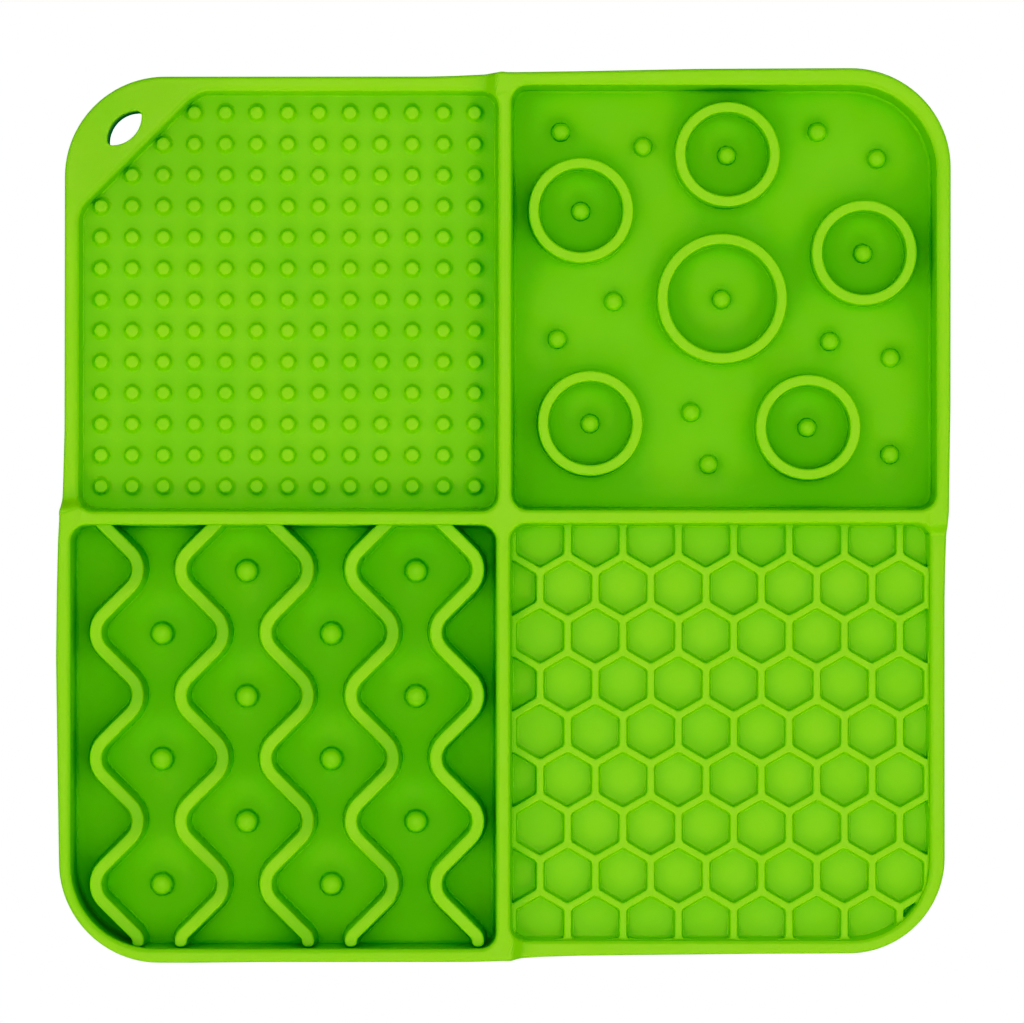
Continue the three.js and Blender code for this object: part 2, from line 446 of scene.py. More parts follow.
@dataclass(frozen=True)
class DotField(Field):
    """The top left field: rows of small dots, with some left out beside the tab."""

    hollow: Hollow = Hollow(
        corners=(
            Corner(-95.6, 0.57, 4), Corner(-0.8, 0.57, 4), Corner(-0.8, 95.4, 4),
            Corner(-68.7, 95.4, 6.7), Corner(-95.6, 68.6, 6.7),
        ),
        floor=4.0,
        fillet=0.5,
    )
    rows: int = 13
    pitch: float = 7.0
    left: float = -90.43
    top: float = 90.42
    missing: tuple[int, ...] = (3, 2, 1)
    crown: float = 1.1
    crown_round: Pair = (0.45, 0.4)
    draft: Pair = (0.3, 0.55)
    fillet: Pair = (0.8, 0.5)
    sides: int = 16
    fillet_rings: int = 3
    crown_rings: int = 2

    def places(self) -> list[Pair]:
        """The middle of each dot, row by row from the top.

        Returns:
            Their x and y.
        """
        left_out = self.missing + (0,) * (self.rows - len(self.missing))
        return [
            (self.left + column * self.pitch, self.top - row * self.pitch)
            for row in range(self.rows)
            for column in range(left_out[row], self.rows)
        ]

    def forms(self) -> list[BMesh]:
        """The dots.

        Returns:
            Their closed forms, in one mesh.
        """
        bm = bmesh.new()
        profile = Profile().turn_steep(*self.fillet, self.fillet_rings)
        profile.slant(*self.draft).turn_level(*self.crown_round, self.crown_rings)
        reach = self.crown + profile.across
        feet = discs(bm, self.places(), self.hollow.floor - SINK, reach, self.sides)
        raise_forms(bm, feet, profile)
        return [bm]


@dataclass(frozen=True)
class RingField(Field):
    """The top right field: rings with a bump in each, and loose bumps between them."""

    hollow: Hollow = Hollow(
        corners=(
            Corner(1.6, 0.87, 4), Corner(97.3, 0.87, 4), Corner(97.3, 96.5, 19.5, 16),
            Corner(1.6, 96.5, 4),
        ),
        floor=2.6,
    )
    rings: tuple[Triple, ...] = (
        (17.5, 68.4, 11.8), (50.4, 81.0, 11.8), (81.1, 58.9, 11.8), (49.2, 48.6, 14.6),
        (19.6, 20.6, 11.8), (68.5, 19.7, 11.8),
    )
    loose: tuple[Pair, ...] = (
        (13.0, 86.3), (31.5, 83.0), (70.8, 86.3), (84.2, 80.3), (24.9, 48.1), (12.2, 39.6),
        (42.3, 23.1), (46.3, 11.4), (73.6, 39.1), (87.3, 35.4), (87.2, 13.6),
    )
    ring_wall: float = 2.4
    ring_rise: float = 5.0
    ring_round: float = 0.5
    ring_draft: float = 0.15
    ring_fillet: float = 0.3
    ring_sides: int = 72
    bump: Bump = Bump(radius=2.15, rise=2.4, fillet=0.25, draft=0.1, dome=(1.55, 1.4), sides=20)

    def ring_feet(self, bm: BMesh) -> list[BMFace]:
        """Adds the level foot of each ring.

        Args:
            bm: Their mesh.

        Returns:
            Their faces.
        """
        spread = self.ring_fillet + self.ring_draft
        made = []
        for x, y, radius in self.rings:
            matrix = Matrix.Translation((x, y, self.hollow.floor - SINK))
            edges = []
            for reach in (radius + spread, radius - self.ring_wall - spread):
                circle = bmesh.ops.create_circle(
                    bm, radius=reach, segments=self.ring_sides, matrix=matrix
                )
                edges += dict.fromkeys(edge for vert in circle["verts"] for edge in vert.link_edges)
            made += bmesh.ops.bridge_loops(bm, edges=edges)["faces"]
        return made

    def forms(self) -> list[BMesh]:
        """The rings, and the bumps in and between them.

        Returns:
            The closed forms of both.
        """
        ring = Profile().turn_steep(self.ring_fillet, self.ring_fillet)
        ring.slant(self.ring_draft, self.ring_rise + SINK - self.ring_fillet - self.ring_round)
        ring.turn_level(self.ring_round, self.ring_round)
        rings = bmesh.new()
        raise_forms(rings, self.ring_feet(rings), ring)
        places = [*self.loose, *((x, y) for x, y, _ in self.rings)]
        return [rings, self.bump.forms(places, self.hollow.floor)]


@dataclass(frozen=True)
class WaveField(Field):
    """The bottom left field: wavy ribs that mirror their neighbours, and bumps between them.

    The ribs' slopes run at 45 degrees, and each step down y ends at a bend.
    """

    hollow: Hollow = Hollow(
        corners=(
            Corner(-97.15, -97.4, 19, 16), Corner(-1.2, -97.4, 4), Corner(-1.2, -1.9, 4),
            Corner(-97.15, -1.9, 4),
        ),
        floor=2.2,
        rim_spread=0.35,
    )
    ribs: int = 5
    first_x: float = -86.6
    spacing: float = 19.07
    width: float = 2.8
    radius: float = 5.6
    rise: float = 6.4
    draft: float = 0.6
    fillet: float = 0.4
    crown_round: float = 0.55
    first_y: float = 1.9
    start_y: float = 0.3
    step: float = 14.11
    bends: int = 7
    rib_end: float = -96.9
    straight: float = 1.45
    least_run: float = 0.15
    end_share: float = 0.9
    bend_segments: int = 8
    # How far below and above the ribs' crowns the painted shade reaches, and how fast it fades.
    shade_from: float = 2.0
    shade_to: float = 0.1
    shade_fade: float = 2.0
    bump: Bump = Bump(radius=2.6, rise=2.9, fillet=0.6, draft=0.2, dome=(1.9, 1.4), sides=24)
    bump_shift: Pair = (0.25, -0.4)

    def rib_side(self, index: int, side: int) -> list[Triple]:
        """The corners of one side of a rib's foot, from its upper end down.

        The upper end runs on past the hollow's wall. The lower end turns straight down.

        Args:
            index: The rib's number, from the left.
            side: 1 for its right side, -1 for its left.

        Returns:
            Rows of x, y and how far from the corner its round begins.
        """
        half = self.width / 2 + self.draft + self.fillet
        peak = self.step / 2
        middle = self.first_x + index * self.spacing
        slope = middle + side * half * math.sqrt(2)
        first_way = -1 if index % 2 == 0 else 1
        row = [(slope + first_way * (peak - self.first_y + self.start_y), self.start_y, 0.0)]
        for bend in range(1, self.bends):
            way = first_way * (-1) ** bend
            y = self.first_y - bend * self.step
            row.append((slope + way * peak, y, self.radius + way * side * half))
        way = first_way * (-1) ** self.bends
        x = middle + way * (peak - self.radius * (math.sqrt(2) - 1)) + side * half
        reach = (self.radius + way * side * half) * math.tan(math.pi / 8)
        last_y = self.first_y - self.bends * self.step + reach
        row.append((x, last_y, max(reach - self.straight, self.least_run)))
        row.append((x, self.rib_end - self.fillet - self.draft, half * self.end_share))
        return row

    def rib_foot(self, bm: BMesh, index: int) -> BMFace:
        """Adds the level foot of one wavy rib.

        Args:
            bm: Its mesh.
            index: The rib's number, from the left.

        Returns:
            Its face.
        """
        corners = [*self.rib_side(index, -1), *reversed(self.rib_side(index, 1))]
        face = level_face(bm, ((x, y) for x, y, _ in corners), self.hollow.floor - SINK)
        for vert, (_, _, run) in zip(list(face.verts), corners):
            if run:
                face = round_corner(bm, vert, run, self.bend_segments)
        return face

    def bump_places(self) -> list[Pair]:
        """The middle of each bump, where the gap between two ribs is wide.

        Returns:
            Their x and y.
        """
        shift_x, shift_y = self.bump_shift
        return [
            (
                self.first_x + (gap + 0.5) * self.spacing + shift_x,
                self.first_y - bend * self.step + shift_y,
            )
            for gap in range(self.ribs - 1)
            for bend in range(1 + (gap + 1) % 2, self.bends, 2)
        ]

    def shade_and_darkening(self, place: Vector) -> float:
        """How much painted shade darkens the colour at a place, from 0 to 1.

        The ribs' crowns carry painted shade at their right bends, which fades from there, but not
        on the last rib.

        Args:
            place: The place.

        Returns:
            The share, 0 where there is no such crown.
        """
        crown = self.hollow.floor + self.rise
        index = round((place.x - self.first_x) / self.spacing)
        down = (self.first_y - place.y) / self.step
        inside = 0 <= index < self.ribs - 1 and 0.0 < down < self.bends
        if not inside or not crown - self.shade_from <= place.z <= crown + self.shade_to:
            return 0.0
        bend, part = divmod(down, 1.0)
        towards_right = (index + bend) % 2 == 0
        return eased(part if towards_right else max(1.0 - self.shade_fade * part, 0.0))

    def forms(self) -> list[BMesh]:
        """The ribs, and the bumps between them.

        Returns:
            The closed forms of both.
        """
        rib = Profile().turn_steep(self.fillet, self.fillet)
        rib.slant(self.draft, self.rise + SINK - self.fillet - self.crown_round)
        rib.turn_level(self.crown_round, self.crown_round)
        ribs = bmesh.new()
        raise_forms(ribs, [self.rib_foot(ribs, index) for index in range(self.ribs)], rib)
        return [ribs, self.bump.forms(self.bump_places(), self.hollow.floor)]


@dataclass(frozen=True)
class HoneycombField(Field):
    """The bottom right field: a honeycomb of shallow cells, each with a corner towards +Y.

    Where three tiles meet, their rounded corners leave a small hole, which is filled.
    """

    hollow: Hollow = Hollow(
        corners=(
            Corner(1.27, -95.8, 4), Corner(96.1, -95.8, 18, 16), Corner(96.1, -1.65, 4),
            Corner(1.27, -1.65, 4),
        ),
        floor=4.7,
        fillet=0.4,
        rim_spread=0.2,
    )
    extra: float = SINK
    pitch: float = 12.44
    wall: float = 1.4
    crown: float = 6.2
    crown_round: float = 0.35
    crown_share: float = 0.35
    draft: float = 0.15
    fillet: Pair = (0.4, 0.5)
    corner_run: float = 0.88
    first_x: float = 8.3
    first_y: float = -5.6
    rows: int = 9
    columns: int = 8
    cell_sides: int = 6
    corner_segments: int = 2
    tiles_at_corner: int = 3
    rings: int = 3
    root: float = 1.0

    def tiles(self, bm: BMesh) -> list[BMFace]:
        """Adds a level tile for each cell, and for one more row on every side.

        Args:
            bm: Their mesh.

        Returns:
            Their faces.
        """
        made = []
        reach = self.pitch / math.sqrt(3)
        for row in range(-1, self.rows + 1):
            first = self.first_x - (row % 2) * self.pitch / 2
            y = self.first_y - row * self.pitch * math.sqrt(3) / 2
            for column in range(-1, self.columns + 1):
                place = (first + column * self.pitch, y)
                face = discs(bm, [place], self.crown, reach, self.cell_sides)[0]
                for vert in list(face.verts):
                    face = round_corner(bm, vert, self.corner_run, self.corner_segments)
                made.append(face)
        return made

    def forms(self) -> list[BMesh]:
        """The honeycomb.

        Returns:
            Its closed form.
        """
        bm = bmesh.new()
        depth = self.crown - self.hollow.floor
        cell = Profile().slant(self.wall / 2 - self.crown_round * (1 - self.crown_share), 0.0)
        cell.turn_steep(self.crown_round, self.crown_round, self.rings)
        cell.slant(self.draft, depth - self.crown_round - self.fillet[1])
        cell.turn_level(*self.fillet, self.rings)
        cell.apply(bm, self.tiles(bm), Way.DOWN)
        bmesh.ops.remove_doubles(bm, verts=list(bm.verts), dist=NEAR)
        gap_sides = self.tiles_at_corner * self.corner_segments
        bmesh.ops.holes_fill(bm, edges=open_edges(bm, self.crown), sides=gap_sides)
        close_at(bm, self.crown, self.hollow.floor - self.root)
        return [bm]


@dataclass(frozen=True)
class Side:
    """One side of the outer edge, with its reach from the middle at places along it.

    It goes from the reach at its start to the reach at its end, where the corner has a radius.
    """

    points: tuple[Pair, ...]
    start: float
    end: float
    radius: float


@dataclass(frozen=True)
class LowRim:
    """A stretch of rim that lies lower than the dividers.

    It lies in the quadrant that the signs give, and runs along x or along y. Its ramp starts at the
    divider's edge. Places nearer to the middle than the inner distance aren't on it.
    """

    sign_x: int
    sign_y: int
    along_x: bool
    edge: float
    ramp: float = 3.2
    ramp_cuts: int = 8
    inner: float = 66.0

    def local(self, place: Vector) -> Pair:
        """How far along the rim and how far out a place is, from the middle of the mat."""
        x, y = place.x * self.sign_x, place.y * self.sign_y
        return (x, y) if self.along_x else (y, x)

    def depth_share(self, place: Vector) -> float | None:
        """How much of the whole drop there is at a place, or None where the rim isn't.

        Args:
            place: The place.

        Returns:
            A share from 0 to 1, or None.
        """
        along, out = self.local(place)
        if out < self.inner or along <= 0:
            return None
        return eased(clamped((along - self.edge) / self.ramp))


@dataclass(frozen=True)
class Body:
    """The outer edge, the rim with its low stretches, the tab's hanging hole and the underside."""

    sides: tuple[Side, ...] = (
        Side(
            points=(
                (-41, 99.2), (-19, 99.2), (-10, 99.38), (-4, 99.6), (-1.5, 99.64), (0.7, 99.88),
                (10, 99.97), (24, 100.2),
            ),
            start=99.24, end=100.28, radius=22.5,
        ),
        Side(
            points=(
                (-70, 100.04), (-44, 99.9), (-17, 99.38), (-3, 99.18), (-0.7, 99.2), (0.3, 99.36),
                (1.3, 99.12), (4.7, 98.94), (10.7, 98.66), (17, 98.5),
            ),
            start=100.15, end=98.47, radius=22.5,
        ),
        Side(
            points=(
                (-19, 98.54), (-5.6, 98.9), (-2, 99.12), (-0.7, 99.46), (0.7, 99.38), (5.6, 99.66),
                (18, 99.94), (32, 100.1), (54, 99.8),
            ),
            start=98.42, end=99.1, radius=22,
        ),
        Side(
            points=(
                (-70, 100.28), (-55, 100.12), (-8, 100.1), (0.2, 99.9), (1.6, 99.94), (2.8, 99.66),
                (8.3, 99.3), (17, 99.02), (57, 98.6),
            ),
            start=100.2, end=98.4, radius=21.5,
        ),
    )
    top: float = 10.0
    edge_round: float = 0.8
    foot_round: float = 0.6
    foot_rings: int = 3
    spacing: float = 6.0
    corner_segments: int = 24
    kink_round: float = 0.45
    kink_segments: int = 2
    low_rims: tuple[LowRim, ...] = (
        LowRim(-1, 1, True, 1.1), LowRim(-1, 1, False, 0.9), LowRim(1, -1, True, 1.6),
        LowRim(1, -1, False, 1.5),
    )
    drop: float = 3.0
    lowered_above: float = 8.0
    hole: Pair = (-85.0, 86.85)
    hole_length: float = 10.7
    hole_width: float = 5.35
    hole_cuts: int = 12
    hole_tip: float = 1.1
    hole_tip_segments: int = 5
    hole_round: float = 0.4
    hole_draft: float = 0.1
    hole_above: float = 2.0
    hole_below: float = 1.0

    def outline(self, bm: BMesh, height: float) -> BMFace:
        """Adds the outer edge as one level face.

        Args:
            bm: Its mesh.
            height: Its level.

        Returns:
            The face.
        """
        points, rounds = [], []
        for turn, side in enumerate(self.sides):
            following = self.sides[(turn + 1) % len(self.sides)]
            spin = Matrix.Rotation(turn * math.pi / 2, 2)
            for along, reach in side.points:
                points.append(spin @ Vector((reach, along)))
                rounds.append((self.kink_round, self.kink_segments))
            points.append(spin @ Vector((side.end, following.start)))
            rounds.append((side.radius, self.corner_segments))
        face = level_face(bm, points, height)
        for vert, (run, segments) in zip(list(face.verts), rounds):
            face = round_corner(bm, vert, run, segments)
        cut_long_edges(bm, face, self.spacing)
        return face

    def hole_space(self) -> BMesh:
        """The space of the lens-shaped hanging hole, which goes on above and below the mat.

        Returns:
            The closed form.
        """
        bm = bmesh.new()
        half = self.hole_length / 2
        bulge = self.hole_width / 2
        reach = (half * half + bulge * bulge) / (2 * bulge)
        spread = math.asin(half / reach)
        cuts = self.hole_cuts
        slope = Matrix.Rotation(math.pi / 4, 2)
        points = []
        for side in (1, -1):
            for step in range(cuts):
                angle = -spread + 2 * spread * step / cuts
                local = Vector((math.sin(angle) * reach, reach - bulge - math.cos(angle) * reach))
                points.append(Vector(self.hole) + slope @ (local * side))
        face = level_face(bm, points, self.top)
        for tip in (face.verts[0], face.verts[cuts]):
            face = round_corner(bm, tip, self.hole_tip, self.hole_tip_segments)
        grow(bm, face, self.hole_round)
        profile = Profile().turn_steep(self.hole_round, self.hole_round)
        profile.slant(-self.hole_draft, self.top + self.hole_below)
        profile.apply(bm, [face], Way.DOWN)
        close_at(bm, self.top, self.top + self.hole_above)
        return bm

    def slab(self) -> BMesh:
        """The whole mat without its hollows.

        Returns:
            The closed form.
        """
        bm = bmesh.new()
        face = self.outline(bm, self.foot_round)
        side = Profile().slant(0.0, self.top - self.foot_round - self.edge_round)
        side.turn_level(self.edge_round, self.edge_round).apply(bm, [face], Way.UP)
        under = bmesh.ops.edgeloop_fill(bm, edges=open_edges(bm, self.foot_round))["faces"]
        foot = Profile().turn_level(self.foot_round, self.foot_round, self.foot_rings)
        foot.apply(bm, under, Way.DOWN)
        face_outwards(bm)
        return bm

    def cut_ramps(self, bm: BMesh) -> None:
        """Divides the rim across each ramp, so that it can bend there.

        Args:
            bm: The mat's mesh.
        """
        for rim in self.low_rims:
            axis = Vector((1, 0, 0)) if rim.along_x else Vector((0, 1, 0))
            sign = rim.sign_x if rim.along_x else rim.sign_y
            for cut in range(rim.ramp_cuts + 1):
                place = sign * (rim.edge + rim.ramp * cut / rim.ramp_cuts)
                parts = {}
                for face in bm.faces:
                    out = rim.local(face.calc_center_median())[1]
                    highest = max(vert.co.z for vert in face.verts)
                    if out > rim.inner and highest > self.lowered_above:
                        parts |= dict.fromkeys((*face.verts, *face.edges, face))
                bmesh.ops.bisect_plane(
                    bm, geom=list(parts), dist=CUT_NEAR, plane_co=axis * place, plane_no=axis
                )

    def lower_rims(self, bm: BMesh) -> None:
        """Bends the low rims down from the level of the dividers.

        Args:
            bm: The mat's mesh.
        """
        self.cut_ramps(bm)
        for vert in bm.verts:
            if vert.co.z < self.lowered_above:
                continue
            found = [rim.depth_share(vert.co) for rim in self.low_rims]
            shares = [share for share in found if share is not None]
            if shares:
                vert.co.z -= self.drop * min(shares)


def draw_curve(curve: bpy.types.CurveMap, row: Places) -> None:
    """Draws a curve with straight lines between a few points.

    Args:
        curve: The curve, which has two points.
        row: The place and the value of each point.
    """
    first, *between, last = row
    curve.points[0].location = first
    curve.points[1].location = last
    for at, value in between:
        curve.points.new(at, value)
    for point in curve.points:
        point.handle_type = "VECTOR"


@dataclass
class Nodes:
    """Adds and links the nodes of one material or world, with short calls for the common kinds."""

    tree: bpy.types.NodeTree
    noise_low: float = 0.28
    noise_high: float = 0.72

    def feed(self, socket: Socket, value: Feed) -> None:
        """Links an output to a socket, or sets the socket's own value.

        Args:
            socket: The input.
            value: The output or the value.
        """
        if isinstance(value, Socket):
            self.tree.links.new(value, socket)
        else:
            socket.default_value = value

    def fill(self, node: bpy.types.Node, values: dict[str, Feed]) -> None:
        """Feeds a node's inputs by their names."""
        for name, value in values.items():
            self.feed(node.inputs[name], value)

    def add(self, kind: str, **values: Feed) -> bpy.types.Node:
        """Adds a node.

        Args:
            kind: The end of its type's name.
            values: What its inputs get, by their names.

        Returns:
            The node.
        """
        node = self.tree.nodes.new("ShaderNode" + kind)
        self.fill(node, values)
        return node

    def maths(self, operation: str, *values: Feed) -> Socket:
        """Adds a Math node.

        Args:
            operation: What it does.
            values: Its inputs, in order.

        Returns:
            Its output.
        """
        node = self.add("Math")
        node.operation = operation
        for socket, value in zip(node.inputs, values):
            self.feed(socket, value)
        return node.outputs["Value"]

    def blend(self, share: Feed, low: Feed, high: Feed) -> Socket:
        """Adds a Mix node for two numbers and returns its output."""
        return self.add("Mix", Factor=share, A=low, B=high).outputs["Result"]

    def tint(self, share: Feed, low: Feed, high: Feed, kind: str = "MIX") -> Socket:
        """Adds a Mix node for two colours.

        Args:
            share: How far the result goes from the first to the second.
            low: The first colour.
            high: The second colour.
            kind: How they are mixed.

        Returns:
            The colour's output.
        """
        node = self.add("Mix")
        node.data_type = "RGBA"
        node.blend_type = kind
        sockets = {socket.identifier: socket for socket in node.inputs}
        for name, value in (("Factor_Float", share), ("A_Color", low), ("B_Color", high)):
            self.feed(sockets[name], value)
        return next(socket for socket in node.outputs if socket.identifier == "Result_Color")

    def noise(self, where: Socket, scale: float, detail: float = 2.0) -> Socket:
        """Adds a Noise Texture node and returns its value, spread to go from about 0 to about 1."""
        node = self.add("TexNoise", Vector=where, Scale=scale, Detail=detail)
        return self.spread(node.outputs["Fac"], self.noise_low, self.noise_high)

    def spread(self, value: Socket, low: float, high: float) -> Socket:
        """Adds a Map Range node that takes a range to 0 to 1, with soft ends.

        Args:
            value: The value's output.
            low: The start of the range.
            high: Its end.

        Returns:
            The node's output.
        """
        node = self.add("MapRange", **{"Value": value, "From Min": low, "From Max": high})
        node.interpolation_type = "SMOOTHSTEP"
        return node.outputs["Result"]


@dataclass(frozen=True)
class Silicone:
    """The mat's finish: lime green silicone rubber, satin, slightly translucent, a little dusty.

    The colour is a touch deeper low in the hollows and paler on the crowns, which is painted shade,
    and a little cloudy. The wavy ribs' crowns carry painted shade at their right bends, and the
    colour is a little darker around the hanging hole. The surface has its mould's fine grain, and
    is a little smoother on the crowns. Lengths are in metres.
    """

    name: str = "silicone_lime"
    # The hollows' deeper green is painted shade; the crowns get the full colour.
    painted_hollow_shade: Colour = (0.315, 0.60, 0.024, 1.0)
    full: Colour = (0.36, 0.625, 0.03, 1.0)
    pale: Colour = (0.39, 0.64, 0.034, 1.0)
    dust: Colour = (0.13, 0.16, 0.05, 1.0)
    floor_height: float = 0.002
    rim_height: float = 0.0068
    # How dark the painted shade on the ribs and the darkening around the hole get.
    darkest: float = 0.86
    cloud_scale: float = 38.0
    cloud_share: float = 0.35
    smear_scale: float = 160.0
    rough_floor: float = 0.52
    rough_crown: float = 0.42
    rough_spread: float = 0.07
    grain_scale: float = 2400.0
    grain_depth: float = 0.000006
    wave_scale: float = 90.0
    wave_depth: float = 0.00003
    speck_scale: float = 55.0
    speck_size: float = 0.011
    speck_edge: float = 2.2
    speck_rarity: float = 0.8
    speck_share: float = 0.55
    bump_detail: float = 1.0
    specular: float = 0.3
    glow: float = 0.15
    glow_reach: Triple = (1.0, 1.2, 0.4)
    glow_scale: float = 0.001

    def specks(self, nodes: Nodes, where: Socket) -> Socket:
        """Adds a mask of small scattered specks.

        Args:
            nodes: The material's nodes.
            where: The place's output.

        Returns:
            The mask's output, which is 0 at most places.
        """
        node = nodes.add("TexVoronoi", Vector=where, Scale=self.speck_scale)
        size = self.speck_size
        away = nodes.spread(node.outputs["Distance"], size, size * self.speck_edge)
        near = nodes.maths("SUBTRACT", 1.0, away)
        parts = nodes.add("SeparateColor", Color=node.outputs["Color"])
        chosen = nodes.maths("GREATER_THAN", parts.outputs["Red"], self.speck_rarity)
        return nodes.maths("MULTIPLY", near, chosen)

    def build(self) -> bpy.types.Material:
        """Makes the material.

        Returns:
            The material.
        """
        material = bpy.data.materials.new(self.name)
        material.use_nodes = True
        shader = material.node_tree.nodes["Principled BSDF"]
        nodes = Nodes(material.node_tree)
        where = nodes.add("TexCoord").outputs["Object"]
        parts = nodes.add("SeparateXYZ", Vector=where)
        height = nodes.spread(parts.outputs["Z"], self.floor_height, self.rim_height)
        cloud = nodes.noise(where, self.cloud_scale)
        smear = nodes.noise(where, self.smear_scale)
        # Painted shade: a deeper green low in the hollows, and the full colour on the crowns.
        colour = nodes.tint(height, self.painted_hollow_shade, self.full)
        clouded = nodes.maths("MULTIPLY", cloud, self.cloud_share)
        colour = nodes.tint(clouded, colour, self.pale)
        # Painted shade on the wavy ribs' right bends, and a darkening around the hanging hole.
        share = nodes.add("Attribute")
        share.attribute_name = SHADE_AND_DARKENING
        darker = nodes.blend(share.outputs["Fac"], 1.0, self.darkest)
        whole = nodes.add("CombineColor", Red=darker, Green=darker, Blue=darker)
        colour = nodes.tint(1.0, colour, whole.outputs["Color"], "MULTIPLY")
        dusty = nodes.maths("MULTIPLY", self.specks(nodes, where), self.speck_share)
        colour = nodes.tint(dusty, colour, self.dust)
        rough = nodes.blend(height, self.rough_floor, self.rough_crown)
        spread = nodes.maths("MULTIPLY", nodes.maths("SUBTRACT", smear, 0.5), self.rough_spread)
        normal = None
        wave, grain = (self.wave_scale, self.wave_depth), (self.grain_scale, self.grain_depth)
        for scale, depth in (wave, grain):
            relief = nodes.noise(where, scale, self.bump_detail)
            bump = nodes.add("Bump", Strength=1.0, Distance=depth, Height=relief)
            if normal:
                nodes.feed(bump.inputs["Normal"], normal)
            normal = bump.outputs["Normal"]
        inputs = {
            "Base Color": colour,
            "Roughness": nodes.maths("ADD", rough, spread),
            "Normal": normal,
            "Specular IOR Level": self.specular,
            "Subsurface Weight": self.glow,
            "Subsurface Radius": self.glow_reach,
            "Subsurface Scale": self.glow_scale,
        }
        nodes.fill(shader, inputs)
        return material


@dataclass(frozen=True)
class LickMat:
    """The whole mat, as one closed piece."""

    name: str = "lick_mat_skin"
    fields: tuple[Field, ...] = (DotField(), RingField(), WaveField(), HoneycombField())
    body: Body = Body()
    finish: Silicone = Silicone()
    crease: float = math.radians(38)
    # How far and how strongly the colour darkens around the hanging hole.
    tab_reach: float = 30.0
    tab_fade: float = 2.0
    tab_share: float = 0.4

    def mark_shade_and_darkening(self, bm: BMesh) -> None:
        """Stores how much darker the colour is at each vertex: painted shade on the wavy ribs'
        crowns, and a darkening around the hanging hole.

        Args:
            bm: The mat's mesh.
        """
        layer = bm.verts.layers.float.new(SHADE_AND_DARKENING)
        waves = next(part for part in self.fields if isinstance(part, WaveField))
        hole = Vector((*self.body.hole, self.body.top))
        for vert in bm.verts:
            near = clamped(self.tab_fade * (1.0 - (vert.co - hole).length / self.tab_reach))
            vert[layer] = max(waves.shade_and_darkening(vert.co), near * self.tab_share)

    def build(self) -> bpy.types.Object:
        """Builds, dresses and places the mat.

        Returns:
            The piece.
        """
        spaces = []
        for part in self.fields:
            spaces.append(part.space())
            log.info("%s: %d faces", type(part).__name__, len(spaces[-1].faces))
        bm = cut_away(self.body.slab(), [*spaces, self.body.hole_space()])
        self.body.lower_rims(bm)
        bmesh.ops.remove_doubles(bm, verts=list(bm.verts), dist=NEAR)
        many_sided = [face for face in bm.faces if len(face.verts) > MOST_CORNERS]
        bmesh.ops.triangulate(bm, faces=many_sided)
        face_outwards(bm)
        open_count = sum(not edge.is_manifold for edge in bm.edges)
        log.info("mat: %d faces, %d open edges", len(bm.faces), open_count)
        self.mark_shade_and_darkening(bm)
        bmesh.ops.scale(bm, vec=(MILLIMETRE,) * 3, verts=list(bm.verts))
        mat = show(self.name, bm)
        mat.data.shade_smooth()
        mat.data.set_sharp_from_angle(angle=self.crease)
        mat.data.materials.append(self.finish.build())
        mat.modifiers.new("even_normals", "WEIGHTED_NORMAL").keep_sharp = True
        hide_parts("mat")
        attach(mat, "root")
        return mat


@dataclass(frozen=True)
class RoomLight:
    """The soft light of a white room, which is brighter at some heights than at others.

    A row holds pairs of a height, as the sine of its angle above the table, and a brightness. The
    front and the back have rows of their own.
    """

    sides: Curve = (
        (0.0, 0.6), (0.25, 0.75), (0.42, 1.05), (0.56, 1.15), (0.7, 1.15), (0.8, 1.15),
        (0.88, 0.85), (0.93, 0.55), (0.97, 1.4), (1.0, 3.0),
    )
    front: Curve = (
        (0.0, 0.6), (0.25, 1.0), (0.4, 2.1), (0.55, 2.1), (0.66, 0.5), (0.76, 0.05), (0.86, 0.1),
        (0.92, 1.0), (0.97, 1.9), (1.0, 3.0),
    )
    back: Curve = (
        (0.0, 0.6), (0.25, 0.75), (0.42, 0.9), (0.56, 0.85), (0.68, 0.2), (0.78, 0.05),
        (0.86, 0.1), (0.92, 1.0), (0.97, 1.9), (1.0, 3.0),
    )
    brightest: float = 3.0
    strength: float = 1.06

    def brightness(self, nodes: Nodes, height: Socket, row: Curve) -> Socket:
        """Adds the curve of one row.

        Args:
            nodes: The world's nodes.
            height: The height's output.
            row: The pairs of height and brightness.

        Returns:
            The brightness, as a share of the brightest.
        """
        node = nodes.add("FloatCurve", Value=height)
        draw_curve(node.mapping.curves[0], [(at, value / self.brightest) for at, value in row])
        node.mapping.update()
        return node.outputs["Value"]

    def build(self) -> bpy.types.World:
        """Makes the world.

        Returns:
            The world.
        """
        world = bpy.data.worlds.new("room_light")
        world.use_nodes = True
        nodes = Nodes(world.node_tree)
        parts = nodes.add("SeparateXYZ", Vector=nodes.add("TexCoord").outputs["Generated"])
        x, y, height = (parts.outputs[name] for name in "XYZ")
        rows = (self.sides, self.front, self.back)
        sides, front, back = (self.brightness(nodes, height, row) for row in rows)
        across = nodes.maths("MULTIPLY", x, x)
        level = nodes.maths("ADD", across, nodes.maths("MULTIPLY", y, y))
        level = nodes.maths("MAXIMUM", level, LEAST)
        facing = nodes.blend(nodes.maths("GREATER_THAN", y, 0.0), front, back)
        light = nodes.blend(nodes.maths("DIVIDE", across, level), facing, sides)
        strength = nodes.maths("MULTIPLY", light, self.brightest * self.strength)
        nodes.fill(nodes.tree.nodes["Background"], {"Color": WHITE, "Strength": strength})
        return world


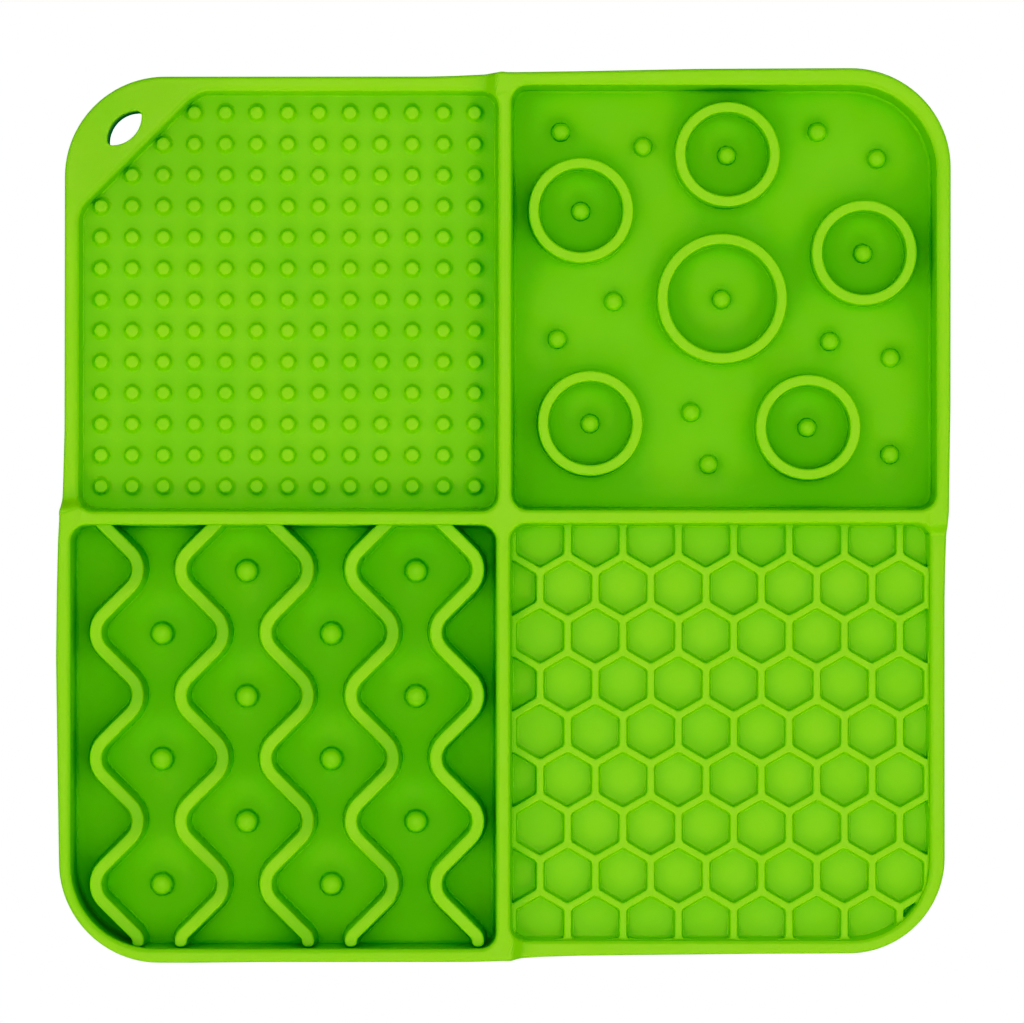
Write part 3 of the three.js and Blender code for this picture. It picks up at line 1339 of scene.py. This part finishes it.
@dataclass(frozen=True)
class Tones:
    """The tone curve of each colour, as pairs of the light in the scene and the light shown.

    They give the picture the strong, clean green and the white ground of a catalogue photograph.
    """

    red: Curve = (
        (0.0, 0.0), (0.13, 0.003), (0.172, 0.016), (0.215, 0.05), (0.245, 0.073), (0.27, 0.089),
        (0.3, 0.143), (0.3404, 0.173), (0.3574, 0.198), (0.3964, 0.275), (1.0, 1.0),
    )
    green: Curve = (
        (0.0, 0.0), (0.2, 0.06), (0.3, 0.14), (0.378, 0.225), (0.45, 0.355), (0.48, 0.405),
        (0.515, 0.425), (0.54, 0.48), (0.565, 0.53), (0.6, 0.56), (0.62, 0.585), (0.64, 0.625),
        (0.66, 0.655), (0.6703, 0.672), (1.0, 1.0),
    )
    blue: Curve = (
        (0.0, 0.0), (0.033, 0.0), (0.037, 0.0006), (0.041, 0.0014), (0.0445, 0.003),
        (0.047, 0.0053), (0.052, 0.0074), (0.0575, 0.0105), (0.0639, 0.0137), (1.0, 1.0),
    )

    def apply(self, view: bpy.types.ColorManagedViewSettings) -> None:
        """Sets the curves.

        Args:
            view: The scene's view settings.
        """
        view.view_transform = "Standard"
        view.use_curve_mapping = True
        for curve, row in zip(view.curve_mapping.curves, (self.red, self.green, self.blue)):
            draw_curve(curve, row)
        view.curve_mapping.update()


@dataclass(frozen=True)
class Studio:
    """The table, the lights and the camera."""

    table_size: float = 6.0
    table_gap: float = 0.0001
    table_light: float = 1.0
    table_bounce: float = 0.35
    room: RoomLight = RoomLight()
    tones: Tones = Tones()
    camera_place: Triple = (0.00201, 0.00078, 0.910)
    lens: float = 141.43

    def build(self) -> None:
        """Sets the table, the lights and the camera."""
        bm = bmesh.new()
        bmesh.ops.create_grid(bm, x_segments=1, y_segments=1, size=self.table_size / 2)
        table = show("table", bm)
        table.location.z = -self.table_gap
        material = bpy.data.materials.new("table_white")
        material.use_nodes = True
        shader = material.node_tree.nodes["Principled BSDF"]
        nodes = Nodes(material.node_tree)
        seen = nodes.add("LightPath").outputs["Is Camera Ray"]
        glow = nodes.blend(seen, self.table_bounce, self.table_light)
        matt = {"Base Color": BLACK, "Roughness": 1.0, "Specular IOR Level": 0.0}
        nodes.fill(shader, {**matt, "Emission Color": WHITE, "Emission Strength": glow})
        table.data.materials.append(material)
        scene = bpy.context.scene
        scene.world = self.room.build()
        camera = bpy.data.cameras.new("camera")
        camera.lens = self.lens
        scene.camera = bpy.data.objects.new("camera", camera)
        scene.camera.location = self.camera_place
        scene.collection.objects.link(scene.camera)
        self.tones.apply(scene.view_settings)


def main() -> None:
    """Builds the mat and its studio."""
    logging.basicConfig(level=logging.INFO, format="%(message)s")
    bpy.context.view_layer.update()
    mat = LickMat().build()
    log.info("%s: %d faces", mat.name, len(mat.data.polygons))
    Studio().build()
    bpy.context.view_layer.update()


if __name__ == "__main__":
    main()
